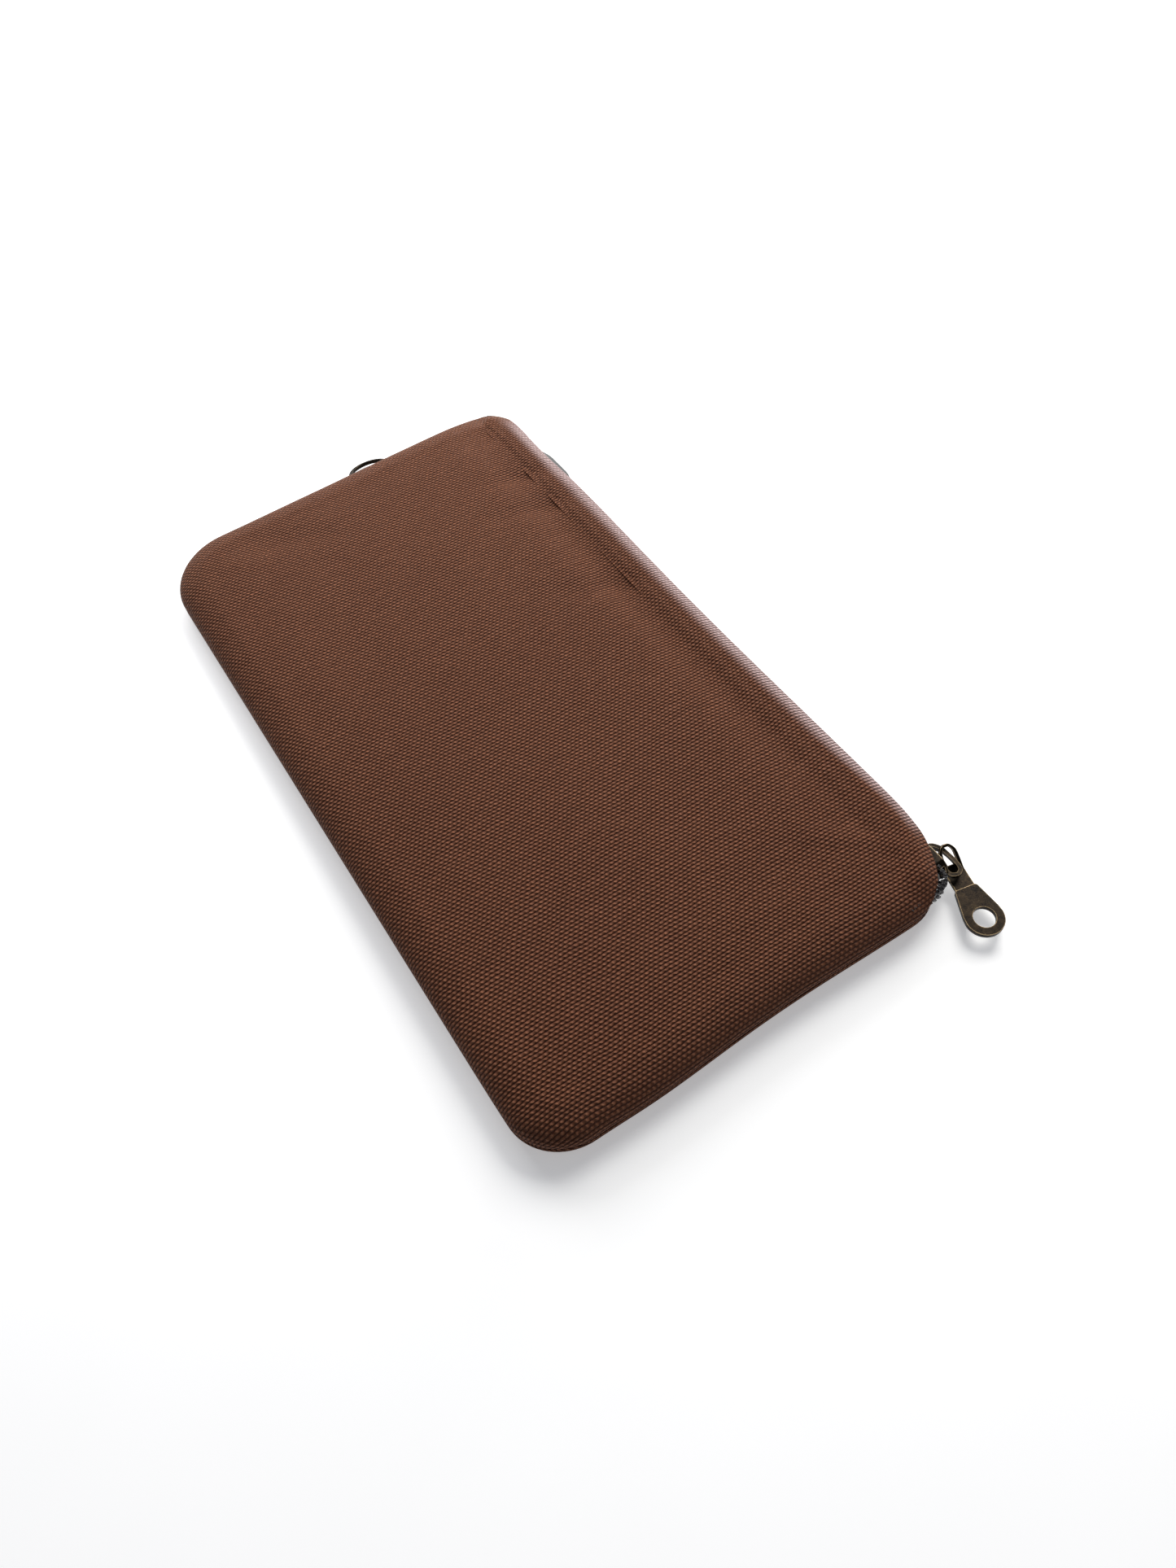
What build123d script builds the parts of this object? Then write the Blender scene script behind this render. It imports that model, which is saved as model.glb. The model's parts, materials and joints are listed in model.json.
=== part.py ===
from build123d import *
import os
from math import atan2, ceil, cos, degrees, radians, sin

# Zippered pouch, in millimetres. The pouch lies flat on its back panel.
# X runs from the closed bottom seam (-X) to the zipper (+X), Y runs along the zipper
# from the end where the slider rests (-Y) to the ring end (+Y), and Z is up.
# The origin is the middle of the flat underside.

# ---- pouch ----
BOTTOM_X, ZIP_X = -55.0, 57.0          # the two long edges of the canvas
NEAR_Y, FAR_Y = -103.5, 101.5          # the two short edges of the canvas
THICKNESS = 10.0                       # the whole pouch, front face to back face
SEAM_Z = 4.0                           # level of the seam between front and back
CANVAS = 0.8                           # one ply of canvas
LINING = 0.25                          # one ply of lining
CANVAS_RADII = (13.0, 16.0, 9.0, 19.0)  # near bottom, near zip, far zip, far bottom corner
FRONT_ROLL, BACK_ROLL = 4.2, 3.2       # how softly each face rolls over to its edge
MOUTH_X = 43.0                         # the mouth is open from here to the zipper edge
FRONT_HEM_Z, BACK_HEM_Z = 8.3, 1.7     # the folded canvas edges that the tapes are sewn to
HEM_WIDTH = 10.0                       # canvas turned inside along the mouth
LINING_INSET = 3.3
LINING_EDGE_X = 44.8                   # the lining ends here, sewn to the tapes

# ---- zipper ----
CHAIN_X, CHAIN_Z = 53.2, 5.0           # the line on which the coils mesh
CHAIN_NEAR_Y, CHAIN_FAR_Y = -101.5, 99.5
CHAIN_NEAR_R, CHAIN_FAR_R = 2.6, 6.0   # how tightly the chain turns into the two side seams
CHAIN_END_X = 40.0                     # where the seams catch the chain's two ends
COIL_THICK = 1.7
COIL_HALF = 2.1                        # half of the meshed chain's width
RAIL = 0.8                             # the coil's back, which holds its teeth
TOOTH, PITCH = 0.42, 1.2
MESH_REACH = 0.65                      # a tooth passes the middle by this much
TAPE = 0.4
MESH_START_Y = -92.5                   # nearer than this the coils part, inside the slider
POST_ROOM = 1.0                        # half of the gap between the parted tapes
TRAVEL_END_Y = 93.4                    # the straight run ends here

# ---- slider ----
SLIDER_Y = -93.8                       # middle of the slider at rest
SLIDER_LENGTH = 9.2
OUTER_PLATE = (1.0, 1.9)               # distances from the chain's middle, outwards
INNER_PLATE = (-2.4, -1.5)
OUTER_HALF, INNER_HALF = 3.1, 2.65     # half widths of the two plates
BAR_OUT = 4.95                         # middle of the bridge's bar, from the chain's middle
BAR_WIDE, BAR_HIGH = 0.85, 0.95

# ---- pull tab ----
PULL_YAW = 13.0                        # the tab points this far inwards of -Y
PULL_SLOPE = 32.0                      # slope of the thin head, up through the bridge
PULL_LEVEL = 3.0                       # height of the flat tab's middle plane
HEAD_THICK, TAB_THICK = 0.8, 1.25
NECK_HALF, TAB_END_R = 2.35, 4.4
WINDOW_HALF, WINDOW_LENGTH = 1.5, 3.8
TAB_HOLE_R = 2.5
HOLE_OUT = 15.9                        # from the bridge's bar to the middle of the tab's hole
STEP_OUT = 7.9                         # from the bar to where the tab gets thicker

# ---- ring ----
RING_X, RING_Z = 13.0, 3.2
RING_BAR_Y = 103.1
RING_HALF = 6.5                        # half of the ring's outer width
RING_DEPTH = 7.0                       # from the bar to the middle of the bow
RING_DROOP = 18.5                      # the ring hangs down to the table
RING_WIRE_R = 0.6
RING_FIT = 0.06                        # room between the ring's bar and the tab's fold
TAB_HALF_WIDTH = 4.6

THREAD_R = 0.2
STITCH, STITCH_GAP = 2.2, 1.0


def rounded(x0, y0, x1, y1, radii):
    """A rectangle whose four corners have their own radii, from the near left one round."""
    corners = [(x0, y0), (x1, y0), (x1, y1), (x0, y1)]
    face = make_face(Polyline(*corners, close=True))
    for corner, radius in zip(corners, radii):
        if radius > 0.2:
            vertex = face.vertices().sort_by_distance((*corner, 0))[0]
            face = fillet(vertex, radius)
    return face


def outline(inset):
    """The pouch's plan outline, drawn in by inset on every side."""
    radii = [r - inset for r in CANVAS_RADII]
    return rounded(BOTTOM_X + inset, NEAR_Y + inset, ZIP_X - inset, FAR_Y - inset, radii)


def slab(face, z0, z1):
    return Pos(0, 0, z0) * extrude(face, amount=z1 - z0)


def block(x0, y0, z0, x1, y1, z1):
    return Pos((x0 + x1) / 2, (y0 + y1) / 2, (z0 + z1) / 2) * Box(x1 - x0, y1 - y0, z1 - z0)


def puffed(inset, z0, z1, roll, top):
    """The outline as a slab whose top or bottom edge is rolled over."""
    body = slab(outline(inset), z0, z1)
    rim = body.faces().sort_by(Axis.Z)[-1 if top else 0]
    return fillet(rim.edges(), roll - inset)


def beside_mouth():
    return block(ZIP_X - HEM_WIDTH, NEAR_Y - 5, -5, ZIP_X + 5, FAR_Y + 5, THICKNESS + 5)


def tab_root():
    """The sewn end of the ring's tab, which lies between the panels in the far seam."""
    return block(RING_X - TAB_HALF_WIDTH, FAR_Y - 2.4, SEAM_Z - 0.6, RING_X + TAB_HALF_WIDTH, FAR_Y, SEAM_Z + 0.6)


def tab_notch():
    """The gap in the far seam that the tab comes out of, with a little room round it."""
    x0, x1 = RING_X - TAB_HALF_WIDTH - 0.05, RING_X + TAB_HALF_WIDTH + 0.05
    return block(x0, FAR_Y - 5, SEAM_Z - 0.65, x1, FAR_Y + 1, SEAM_Z + 0.65)


def front_panel():
    low, high = SEAM_Z + 0.02, THICKNESS
    skin = puffed(0, low, high, FRONT_ROLL, True) - puffed(CANVAS, low - 1, high - CANVAS, FRONT_ROLL, True)
    hem = puffed(CANVAS, low, high - CANVAS, FRONT_ROLL, True)
    hem = hem - puffed(2 * CANVAS, low - 1, high - 2 * CANVAS, FRONT_ROLL, True)
    mouth = block(MOUTH_X, NEAR_Y - 5, 0, ZIP_X + 5, FAR_Y + 5, FRONT_HEM_Z)
    return skin + (hem & beside_mouth()) - mouth - tab_notch()


def back_panel():
    low, high = 0, SEAM_Z - 0.02
    skin = puffed(0, low, high, BACK_ROLL, False) - puffed(CANVAS, CANVAS, high + 1, BACK_ROLL, False)
    hem = puffed(CANVAS, CANVAS, high, BACK_ROLL, False)
    hem = hem - puffed(2 * CANVAS, 2 * CANVAS, high + 1, BACK_ROLL, False)
    mouth = block(MOUTH_X, NEAR_Y - 5, BACK_HEM_Z, ZIP_X + 5, FAR_Y + 5, THICKNESS)
    return skin + (hem & beside_mouth()) - mouth - tab_notch()


def lining(front):
    """A thin bag side: a flat sheet with walls down its three closed edges."""
    inset, edge = LINING_INSET, LINING_EDGE_X
    sheet = outline(inset) & Pos((edge + BOTTOM_X) / 2, 0) * Rectangle(edge - BOTTOM_X, 400)
    inner = outline(inset + LINING) & Pos((edge + BOTTOM_X + 1) / 2, 0) * Rectangle(edge - BOTTOM_X + 1, 400)
    if front:
        return slab(sheet, SEAM_Z + 0.1, FRONT_HEM_Z - 0.1) - slab(inner, 0, FRONT_HEM_Z - 0.1 - LINING)
    return slab(sheet, BACK_HEM_Z + 0.1, SEAM_Z - 0.1) - slab(inner, BACK_HEM_Z + 0.1 + LINING, THICKNESS)


def chain_outline(out):
    """The zipper's plan line, moved out by a distance, as a face that reaches past the seams."""
    x0 = CHAIN_END_X - 30
    radii = (1.0, CHAIN_NEAR_R + out, CHAIN_FAR_R + out, 1.0)
    return rounded(x0, CHAIN_NEAR_Y - out, CHAIN_X + out, CHAIN_FAR_Y + out, radii)


def chain_ribbon(inner, outer, z0, z1, end=0.0):
    """A strip that follows the zipper's line between two distances from it."""
    ring = slab(chain_outline(outer), z0, z1) - slab(chain_outline(inner), z0 - 1, z1 + 1)
    return ring & block(CHAIN_END_X + end, -200, z0, CHAIN_X + 20, 200, z1)


def tape(front):
    """Woven tape: upright behind the coil, then turned in under the canvas hem."""
    out = -COIL_THICK / 2
    band = chain_ribbon(-9.0, out, FRONT_HEM_Z - TAPE, FRONT_HEM_Z, LINING_EDGE_X + 0.1 - CHAIN_END_X)
    wall = chain_ribbon(out - TAPE, out, CHAIN_Z + 0.05, FRONT_HEM_Z)
    parting = block(0, -200, CHAIN_Z - 1, CHAIN_X + 5, MESH_START_Y + 0.6, CHAIN_Z + POST_ROOM)
    made = band + wall - parting
    return made if front else mirror(made, about=Plane.XY.offset(CHAIN_Z))


def chain_point(s):
    """(x, y, direction in degrees) at a distance s along the line, from the mesh's near end."""
    straight = TRAVEL_END_Y - MESH_START_Y
    if s <= straight:
        return CHAIN_X, MESH_START_Y + s, 90.0
    s -= straight
    bend = CHAIN_FAR_R * radians(90)
    cx, cy = CHAIN_X - CHAIN_FAR_R, CHAIN_FAR_Y - CHAIN_FAR_R
    if s <= bend:
        a = s / CHAIN_FAR_R
        return cx + CHAIN_FAR_R * cos(a), cy + CHAIN_FAR_R * sin(a), 90.0 + degrees(a)
    return cx - (s - bend), CHAIN_FAR_Y, 180.0


def teeth(z0, z1, first):
    """Teeth across the chain, one each pitch along its meshed length."""
    reach = TRAVEL_END_Y - MESH_START_Y + CHAIN_FAR_R * radians(90) + CHAIN_X - CHAIN_FAR_R - CHAIN_END_X
    made = []
    for n in range(int((reach - first - 1.0) / PITCH)):
        x, y, turn = chain_point(first + n * PITCH)
        tooth = Box(TOOTH, COIL_THICK, z1 - z0)
        made.append(Pos(x, y, (z0 + z1) / 2) * Rot(0, 0, turn) * tooth)
    return made


def coil(front):
    """One coil: a rail with its teeth, then a bare end that turns into the near seam."""
    half = COIL_THICK / 2
    if front:
        rail = chain_ribbon(-half, half, CHAIN_Z + COIL_HALF - RAIL, CHAIN_Z + COIL_HALF, 0.5)
        return rail + teeth(CHAIN_Z - MESH_REACH, CHAIN_Z + COIL_HALF - RAIL / 2, 0.3)
    rail = chain_ribbon(-half, half, CHAIN_Z - COIL_HALF, CHAIN_Z - COIL_HALF + RAIL, 0.5)
    return rail + teeth(CHAIN_Z - COIL_HALF + RAIL / 2, CHAIN_Z + MESH_REACH, 0.3 + PITCH / 2)


def coil_thread(front):
    """The line of thread that sews a coil to its tape, laid over the coil's back."""
    half = COIL_THICK / 2
    z = CHAIN_Z + (COIL_HALF - 0.55) * (1 if front else -1)
    return chain_ribbon(half, half + 0.1, z - 0.15, z + 0.15, 0.5)


def plate(half, length, nose_out):
    """A slider plate's outline, seen from outside: blunt nose at -Y, narrower tail at +Y."""
    h, l = half, length / 2
    points = [(-l, -h * 0.3), (-l + 0.9, -h * 0.75), (-l + 2.4, -h), (l - 3.0, -h), (l, -h * 0.6)]
    points = points + [(y, -z) for y, z in reversed(points)]
    face = make_face(Polyline(*points, close=True))
    return fillet(face.vertices(), nose_out)


def upright(face, x0, x1):
    """Stands a (Y, Z) face upright across X, at the slider's place on the chain."""
    plane = Plane(origin=(CHAIN_X + x0, SLIDER_Y, CHAIN_Z), x_dir=(0, 1, 0), z_dir=(1, 0, 0))
    return plane * extrude(face, amount=x1 - x0)


def slider_body():
    """Two plates joined by a post between the parting coils, with flanges that hold the coils."""
    outer = upright(plate(OUTER_HALF, SLIDER_LENGTH, 0.7), *OUTER_PLATE)
    outer = chamfer(outer.faces().sort_by(Axis.X)[-1].edges(), 0.25)
    inner = upright(plate(INNER_HALF, SLIDER_LENGTH - 0.6, 0.6), *INNER_PLATE)
    post = make_face(Polyline((-4.2, 0), (-3.3, 0.75), (-0.6, 0.12), (-0.6, -0.12), (-3.3, -0.75), close=True))
    body = outer + inner + upright(post, INNER_PLATE[1] - 0.3, OUTER_PLATE[0] + 0.3)
    shape = plate(OUTER_HALF, SLIDER_LENGTH, 0.7)
    core = Rectangle(20, 2 * (COIL_HALF + 0.3))
    flanges = upright(shape - core, -COIL_THICK / 2 + 0.2, OUTER_PLATE[0] + 0.2)
    return body + flanges


def slider_bridge():
    """The arched bar that the pull tab hangs on, standing out from the outer plate."""
    y0, y1 = SLIDER_Y - 3.95, SLIDER_Y + 3.55
    x0, x1 = CHAIN_X + OUTER_PLATE[1], CHAIN_X + BAR_OUT + BAR_WIDE / 2
    reach = x1 - x0
    outer = make_face(Polyline((x0 - reach, y0), (x1, y0), (x1, y1), (x0 - reach, y1), close=True))
    outer = fillet(outer.vertices().group_by(Axis.X)[-1], 2.4)
    w = BAR_WIDE
    inner = Polyline((x0 - reach, y0 + w), (x1 - w, y0 + w), (x1 - w, y1 - w), (x0 - reach, y1 - w), close=True)
    inner = make_face(inner)
    inner = fillet(inner.vertices().group_by(Axis.X)[-1], 2.4 - w)
    bar = slab(outer - inner, CHAIN_Z - BAR_HIGH / 2, CHAIN_Z + BAR_HIGH / 2)
    bar = bar & block(x0, -200, 0, x1 + 1, 0, THICKNESS)
    long_edges = bar.edges().filter_by(lambda e: e.center().X > x0 + 0.01)
    return fillet(long_edges.filter_by(Plane.XY), 0.25)


def pull_origin():
    """Where the pull tab's head crosses the bridge's bar."""
    return CHAIN_X + BAR_OUT, SLIDER_Y - 3.95 + BAR_WIDE + 1.95, CHAIN_Z


def pull_tab():
    """A flat tab with a round hole. Its thin head slopes up through the bridge.

    Drawn with the bar at the origin and the tab running along -Y, then turned and placed.
    """
    rise = sin(radians(PULL_SLOPE)) / cos(radians(PULL_SLOPE))
    drop = CHAIN_Z - PULL_LEVEL
    bend = -drop / rise
    head_end = WINDOW_LENGTH / 2 + 0.9
    half = HEAD_THICK / 2
    tall = half / cos(radians(PULL_SLOPE))
    side = [(head_end, head_end * rise + tall), (bend, -drop + half), (-40, -drop + half)]
    side = side + [(-40, -drop - half), (bend, -drop - half), (head_end, head_end * rise - tall)]
    strip = Plane.YZ * extrude(make_face(Polyline(*side, close=True)), amount=6, both=True)
    lobe = Pos(0, -HOLE_OUT) * Circle(TAB_END_R)
    wide = -HOLE_OUT + 1.5
    neck = [(-NECK_HALF, head_end), (NECK_HALF, head_end), (NECK_HALF, -STEP_OUT), (TAB_END_R - 0.15, wide)]
    neck = neck + [(-x, y) for x, y in reversed(neck[2:])]
    plan = make_face(Polyline(*neck, close=True)) + lobe
    head = slab(plan, -drop - 2, 6) & strip
    thick = TAB_THICK / 2
    plan_tab = plan & Pos(0, -STEP_OUT - 20) * Rectangle(20, 40)
    tab = slab(plan_tab, -drop - thick, -drop + thick)
    made = head + tab - slab(Pos(0, -HOLE_OUT) * Circle(TAB_HOLE_R), -drop - 3, 6)
    slot = Rectangle(2 * WINDOW_HALF, WINDOW_LENGTH)
    made = made - slab(fillet(slot.vertices(), 0.3), -6, 6)
    return Pos(*pull_origin()) * Rot(0, 0, -PULL_YAW) * made


def d_ring():
    """A wire ring, straight where the tab holds it and round outside."""
    half = RING_HALF - RING_WIRE_R
    arc = ThreePointArc((half, 0), (0, RING_DEPTH), (-half, 0))
    bow = sweep(Plane(origin=arc @ 0, z_dir=arc % 0) * Circle(RING_WIRE_R), path=arc)
    bar = Rot(0, 90, 0) * Cylinder(RING_WIRE_R, 2 * half)
    made = bow + bar + Pos(half, 0) * Sphere(RING_WIRE_R) + Pos(-half, 0) * Sphere(RING_WIRE_R)
    return Pos(RING_X, RING_BAR_Y, RING_Z) * Rot(-RING_DROOP, 0, 0) * made


def ring_tab():
    """A folded strip of canvas: its loop holds the ring's bar and its root lies in the far seam."""
    hole = RING_WIRE_R + RING_FIT
    outside = hole + 0.6
    fold = Pos(RING_BAR_Y, RING_Z) * Circle(outside)
    y0, z0 = FAR_Y + 0.02, RING_Z - outside
    neck = make_face(Polyline((y0, SEAM_Z - 0.6), (y0, SEAM_Z + 0.6), (RING_BAR_Y, RING_Z + outside),
                              (RING_BAR_Y, z0), close=True))
    section = fold + neck - Pos(RING_BAR_Y, RING_Z) * Circle(hole)
    loop = Plane.YZ * extrude(section, amount=TAB_HALF_WIDTH, both=True)
    return Pos(RING_X, 0, 0) * loop + tab_root() + block(
        RING_X - TAB_HALF_WIDTH, FAR_Y - 0.1, SEAM_Z - 0.6, RING_X + TAB_HALF_WIDTH, FAR_Y + 0.1, SEAM_Z + 0.6)


def stitch_row(start, end, lying):
    """Stitches from start to end. Lying ones run along the row, the others cross the seam upright."""
    dx, dy = end[0] - start[0], end[1] - start[1]
    length = (dx * dx + dy * dy) ** 0.5
    count = ceil(length / (STITCH + STITCH_GAP))
    turn = degrees(atan2(dy, dx))
    made = []
    for n in range(count):
        f = (n + 0.5) / count
        place = Pos(start[0] + f * dx, start[1] + f * dy, start[2])
        tilt = Rot(0, 0, turn) * Rot(0, 90, 0) if lying else Rot(0, 0, 0)
        made.append(place * tilt * Cylinder(THREAD_R, STITCH))
    return made


def bottom_seam_thread():
    x = BOTTOM_X + CANVAS + THREAD_R + 0.05
    return stitch_row((x, NEAR_Y + 16, SEAM_Z), (x, FAR_Y - 21, SEAM_Z), False)


def near_seam_thread():
    y = NEAR_Y + CANVAS + THREAD_R + 0.05
    return stitch_row((BOTTOM_X + 15, y, SEAM_Z), (CHAIN_END_X - 0.5, y, SEAM_Z), False)


def far_seam_thread():
    y = FAR_Y - CANVAS - THREAD_R - 0.05
    left = stitch_row((BOTTOM_X + 21, y, SEAM_Z), (RING_X - 6, y, SEAM_Z), False)
    return left + stitch_row((RING_X + 6, y, SEAM_Z), (CHAIN_END_X - 0.5, y, SEAM_Z), False)


def zip_thread(front):
    """The row of stitches that holds a tape under its canvas hem."""
    away = FRONT_HEM_Z - TAPE - THREAD_R - 0.02 - CHAIN_Z
    z = CHAIN_Z + (away if front else -away)
    x = CHAIN_X - 4.6
    return stitch_row((x, NEAR_Y + 9, z), (x, FAR_Y - 9, z), True)


def tab_thread():
    """Two short rows of stitches across the ring tab's root, inside the pouch."""
    y = FAR_Y - 1.7
    rows = []
    for z in (SEAM_Z - 0.6 - THREAD_R, SEAM_Z + 0.6 + THREAD_R):
        rows += stitch_row((RING_X - TAB_HALF_WIDTH, y, z), (RING_X + TAB_HALF_WIDTH, y, z), True)
    return rows


PARTS = {
    "front_panel": front_panel,
    "back_panel": back_panel,
    "front_lining": lambda: lining(True),
    "back_lining": lambda: lining(False),
    "front_tape": lambda: tape(True),
    "back_tape": lambda: tape(False),
    "front_coil": lambda: coil(True),
    "back_coil": lambda: coil(False),
    "front_coil_thread": lambda: coil_thread(True),
    "back_coil_thread": lambda: coil_thread(False),
    "slider_body": slider_body,
    "slider_bridge": slider_bridge,
    "pull_tab": pull_tab,
    "d_ring": d_ring,
    "ring_tab": ring_tab,
    "tab_thread": tab_thread,
    "bottom_seam_thread": bottom_seam_thread,
    "near_seam_thread": near_seam_thread,
    "far_seam_thread": far_seam_thread,
    "front_zip_thread": lambda: zip_thread(True),
    "back_zip_thread": lambda: zip_thread(False),
}

os.makedirs("parts", exist_ok=True)
for name, make in PARTS.items():
    shape = make()
    if isinstance(shape, list):
        shape = Compound(children=shape)
    export_step(shape, f"parts/{name}.step")
    print(name, round(shape.volume, 2), len(shape.solids()))
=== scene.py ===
import json
from math import cos, pi, radians, sin

import bpy
import numpy as np
from mathutils import Matrix, Vector, noise


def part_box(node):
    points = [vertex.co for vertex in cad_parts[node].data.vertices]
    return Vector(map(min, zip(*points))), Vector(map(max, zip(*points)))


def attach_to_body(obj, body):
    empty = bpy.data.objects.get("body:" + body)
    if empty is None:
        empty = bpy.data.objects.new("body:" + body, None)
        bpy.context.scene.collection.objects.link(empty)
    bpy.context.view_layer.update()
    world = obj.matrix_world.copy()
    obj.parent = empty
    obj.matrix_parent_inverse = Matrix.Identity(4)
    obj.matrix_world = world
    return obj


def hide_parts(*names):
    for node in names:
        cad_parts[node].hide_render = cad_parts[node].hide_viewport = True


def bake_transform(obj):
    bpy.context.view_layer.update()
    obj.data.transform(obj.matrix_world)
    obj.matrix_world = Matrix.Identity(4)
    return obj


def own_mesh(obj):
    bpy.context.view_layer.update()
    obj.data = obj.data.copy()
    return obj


# Looks of the zippered canvas pouch. Lengths are millimetres until a mesh is made.
# The pouch lies on z = 0; the zipper runs along +Y on the +X side, with its slider at the near (-Y) end.

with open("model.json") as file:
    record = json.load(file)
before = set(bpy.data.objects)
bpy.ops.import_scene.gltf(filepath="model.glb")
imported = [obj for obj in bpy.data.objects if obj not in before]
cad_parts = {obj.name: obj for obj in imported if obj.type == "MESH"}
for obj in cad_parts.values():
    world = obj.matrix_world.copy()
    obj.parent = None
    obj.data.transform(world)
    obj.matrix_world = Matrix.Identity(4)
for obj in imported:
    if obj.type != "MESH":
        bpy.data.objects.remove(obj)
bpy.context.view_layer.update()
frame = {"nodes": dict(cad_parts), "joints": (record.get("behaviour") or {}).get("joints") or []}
MM = 0.001


def box_mm(node):
    """A CAD node's box in millimetres."""
    low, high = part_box(node)
    return np.array(low) / MM, np.array(high) / MM


FRONT_BOX, BACK_BOX, COIL_BOX = box_mm("front_panel"), box_mm("back_panel"), box_mm("back_coil")
BOTTOM_X, NEAR_Y = FRONT_BOX[0][:2]
ZIP_X, FAR_Y = BACK_BOX[1][0] + 0.4, FRONT_BOX[1][1]
SEAM_Z = (FRONT_BOX[0][2] + BACK_BOX[1][2]) / 2
RADII = (13.0, 16.0, 9.0, 19.0)        # near bottom, near zip, far zip and far bottom corner
PLY = 0.5                              # thickness of one layer of canvas
LINING_PLY = 0.2
FRONT_CELL, BACK_CELL, LINING_CELL = 1.3, 1.6, 2.2   # sizes of a mesh cell
CORNER_CUT = 0.6                       # an inset loop keeps at least this radius at a corner
COIL_X = 0.85                          # half of the coil's depth across the chain
CHAIN_X, CHAIN_Z = COIL_BOX[1][0] - COIL_X, (box_mm("front_coil")[0][2] + COIL_BOX[1][2]) / 2
CHAIN_NEAR_Y, CHAIN_FAR_Y = COIL_BOX[0][1] + COIL_X, COIL_BOX[1][1] - COIL_X
CHAIN_NEAR_R, CHAIN_FAR_R = 2.6, 6.0
CHAIN_END_X = COIL_BOX[0][0]
PITCH = 1.2                            # one tooth of the coil
TAPE_BACK = -1.08                      # the tape's face, measured outwards from the middle of the chain
MESH_START_Y = -92.5                   # the coils part here, inside the slider
BOW_Y, BOW_REACH, BOW = 65.0, 14.0, 2.0   # the chain bows outwards before the far corner
SLACK_Y, SLACK_REACH, SLACK = 68.0, 17.0, 3.5   # and the front tape stands out over it
TRAVEL_END_Y = 84.2                    # middle of the slider when the mouth is open
WARP, WEFT = 0.625, 0.875              # canvas thread pitches along X and along Y
SEWING = 3.2                           # length of one stitch in the canvas


def side(front):
    """How the names of a side's pieces and nodes begin."""
    return "front" if front else "back"


def half(near):
    """How the names of a half's pieces end."""
    return "near" if near else "far"


# ---- meshes ----
def linked(name, data):
    """A new object of the scene from its mesh, curve, light or camera."""
    made = bpy.data.objects.new(name, data)
    bpy.context.scene.collection.objects.link(made)
    return made


def baked(drawn):
    """The mesh that an object's curve or modifiers make. The object itself is removed."""
    mesh = bpy.data.meshes.new_from_object(drawn.evaluated_get(bpy.context.evaluated_depsgraph_get()))
    bpy.data.objects.remove(drawn)
    return mesh


def make_object(name, points, faces, uv=None, normals=None):
    """A mesh piece from points in millimetres. uv is per point and normals are per face corner."""
    mesh = bpy.data.meshes.new(name)
    mesh.from_pydata((np.asarray(points) * MM).tolist(), [], [list(map(int, f)) for f in faces])
    mesh.polygons.foreach_set("use_smooth", [True] * len(mesh.polygons))
    if uv is not None:
        layer = mesh.uv_layers.new(name="cloth")
        corner = np.zeros(len(mesh.loops), int)
        mesh.loops.foreach_get("vertex_index", corner)
        layer.data.foreach_set("uv", np.asarray(uv, float)[corner].ravel())
    mesh.update()
    if normals is not None:
        mesh.normals_split_custom_set([tuple(n) for n in normals])
    return linked(name, mesh)


def point_normals(points, faces):
    """Area-weighted normals of a mesh of quads."""
    quad = np.array(faces)
    across = points[quad[:, 2]] - points[quad[:, 0]]
    along = points[quad[:, 3]] - points[quad[:, 1]]
    total = np.zeros_like(points)
    for corner in range(4):
        np.add.at(total, quad[:, corner], np.cross(across, along))
    return total / np.maximum(np.linalg.norm(total, axis=1), 1e-12)[:, None]


def shell(name, points, faces, uv, normals, thickness, fold=None):
    """A sheet of cloth with two faces and a rim: the given face and one thickness behind it.
    fold is how much each point lies on the turned edge, which carries a painted pale highlight."""
    used = np.unique(np.array(faces))
    place = {old: new for new, old in enumerate(used)}
    outer = [[place[v] for v in f] for f in faces]
    count = len(used)
    inner = [[v + count for v in reversed(f)] for f in outer]
    edges = dict.fromkeys(pair for f in outer for pair in zip(f, f[1:] + f[:1]))
    rim = [[b, a, a + count, b + count] for a, b in edges if (b, a) not in edges]
    p, n = points[used], normals[used]
    both = np.vstack([p, p - n * thickness])
    corners = [n[v] for f in outer for v in f] + [-n[v - count] for f in inner for v in f]
    for a, b, c, d in rim:
        flat = np.cross(both[b] - both[a], both[d] - both[a])
        flat = flat / max(np.linalg.norm(flat), 1e-12)
        corners += [flat] * 4
    made = make_object(name, both, outer + inner + rim, np.vstack([uv[used]] * 2), corners)
    if fold is not None:
        attribute = made.data.attributes.new("fold", "FLOAT", "POINT")
        attribute.data.foreach_set("value", np.concatenate([fold[used], 0 * fold[used]]).astype(np.float32))
    return made


def tube(points, radius, sides=8):
    """Points and faces of a round bar along a line, with closed ends."""
    p = np.asarray(points, float)
    ahead = np.gradient(p, axis=0)
    ahead /= np.linalg.norm(ahead, axis=1)[:, None]
    across = np.cross(ahead[0], (0.31, 0.17, 0.93))
    rings = []
    for centre, t in zip(p, ahead):
        across = across - t * (across @ t)
        across /= np.linalg.norm(across)
        up = np.cross(t, across)
        angle = np.arange(sides) * 2 * pi / sides
        rings.append(centre + radius * (np.cos(angle)[:, None] * across + np.sin(angle)[:, None] * up))
    faces = []
    for r in range(len(p) - 1):
        for k in range(sides):
            a, b = r * sides + k, r * sides + (k + 1) % sides
            faces.append([a, b, b + sides, a + sides])
    last = (len(p) - 1) * sides
    faces += [list(range(sides))[::-1], list(range(last, last + sides))]
    return np.vstack(rings), faces


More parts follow.
